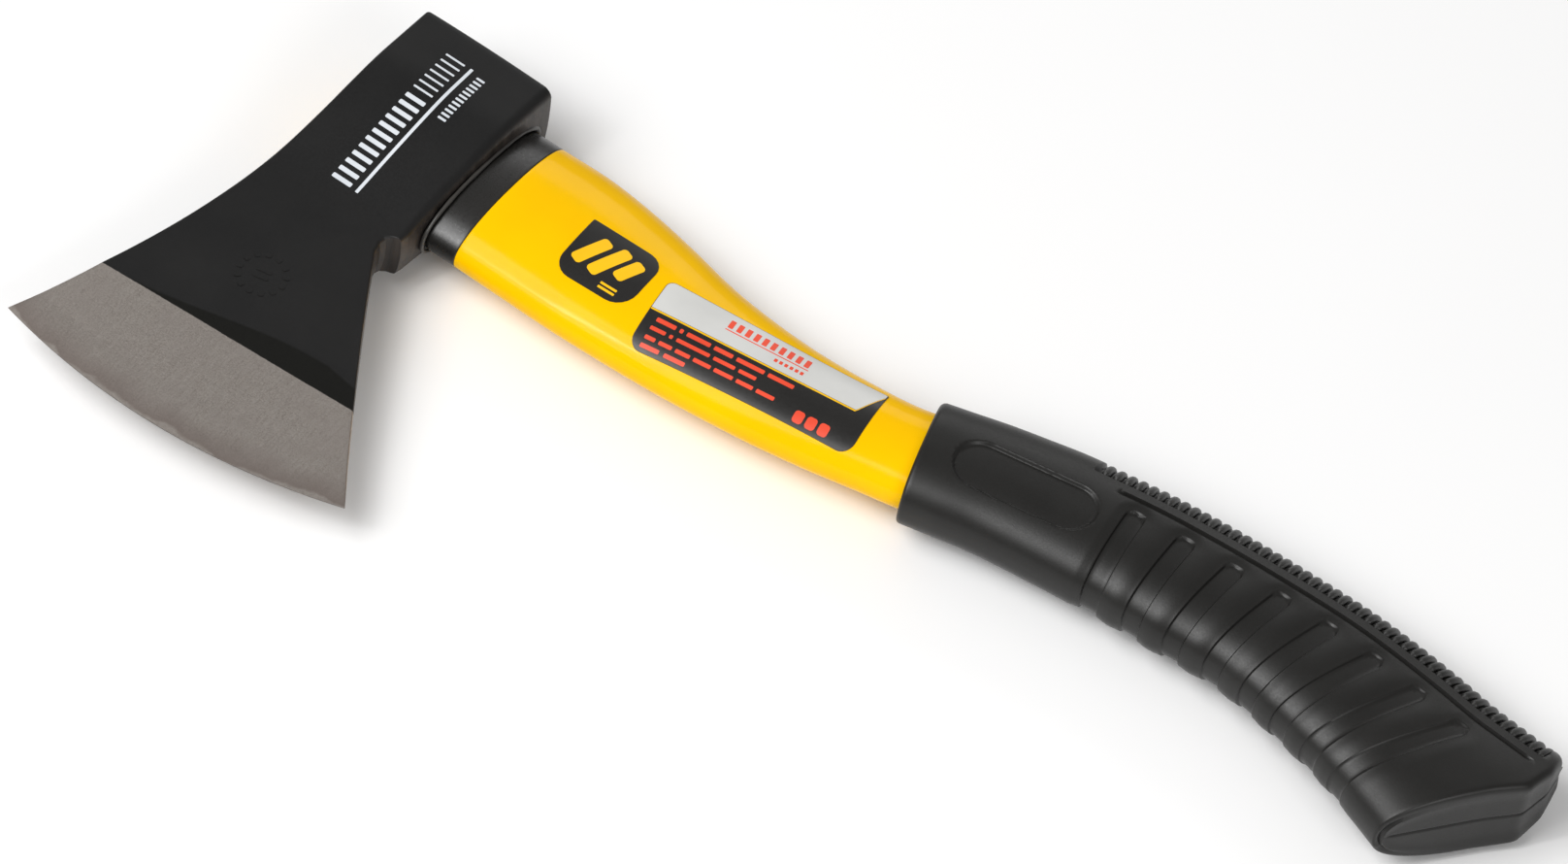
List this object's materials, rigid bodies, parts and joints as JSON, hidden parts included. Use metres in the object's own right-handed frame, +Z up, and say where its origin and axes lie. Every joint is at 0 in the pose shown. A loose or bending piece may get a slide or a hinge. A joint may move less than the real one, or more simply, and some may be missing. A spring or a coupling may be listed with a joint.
{
  "type": "hatchet",
  "caption": "Short one-hand hatchet with a forged steel head, a moulded handle on a glass fibre core and a rubber grip with finger slots.",
  "frame": {"origin": "middle of the flat pad of the lower cheek, beside the eye, on which the head lies", "axes": "+X along the handle from head to butt, +Y out of the poll face, +Z up out of the upper cheek"},
  "size_m": [0.3837, 0.1592, 0.0285],
  "materials": {
    "head_lacquer": "satin black lacquer on forged steel, with a bare ground bevel",
    "resin": "cast resin",
    "collar_plastic": "smooth gloss",
    "glass_fibre": "pultruded glass fibre rod",
    "handle_plastic": "smooth gloss",
    "grip_rubber": "matte moulded rubber",
    "label_film": "printed adhesive film",
    "badge_film": "printed adhesive film"
  },
  "bodies": {
    "root": {"axe_head": "head_lacquer", "eye_resin": "resin", "neck_collar": "collar_plastic", "core_rod": "glass_fibre", "handle_jacket": "handle_plastic", "grip_sleeve": "grip_rubber", "product_label": "label_film", "badge_sticker": "badge_film"}
  },
  "joints": []
}
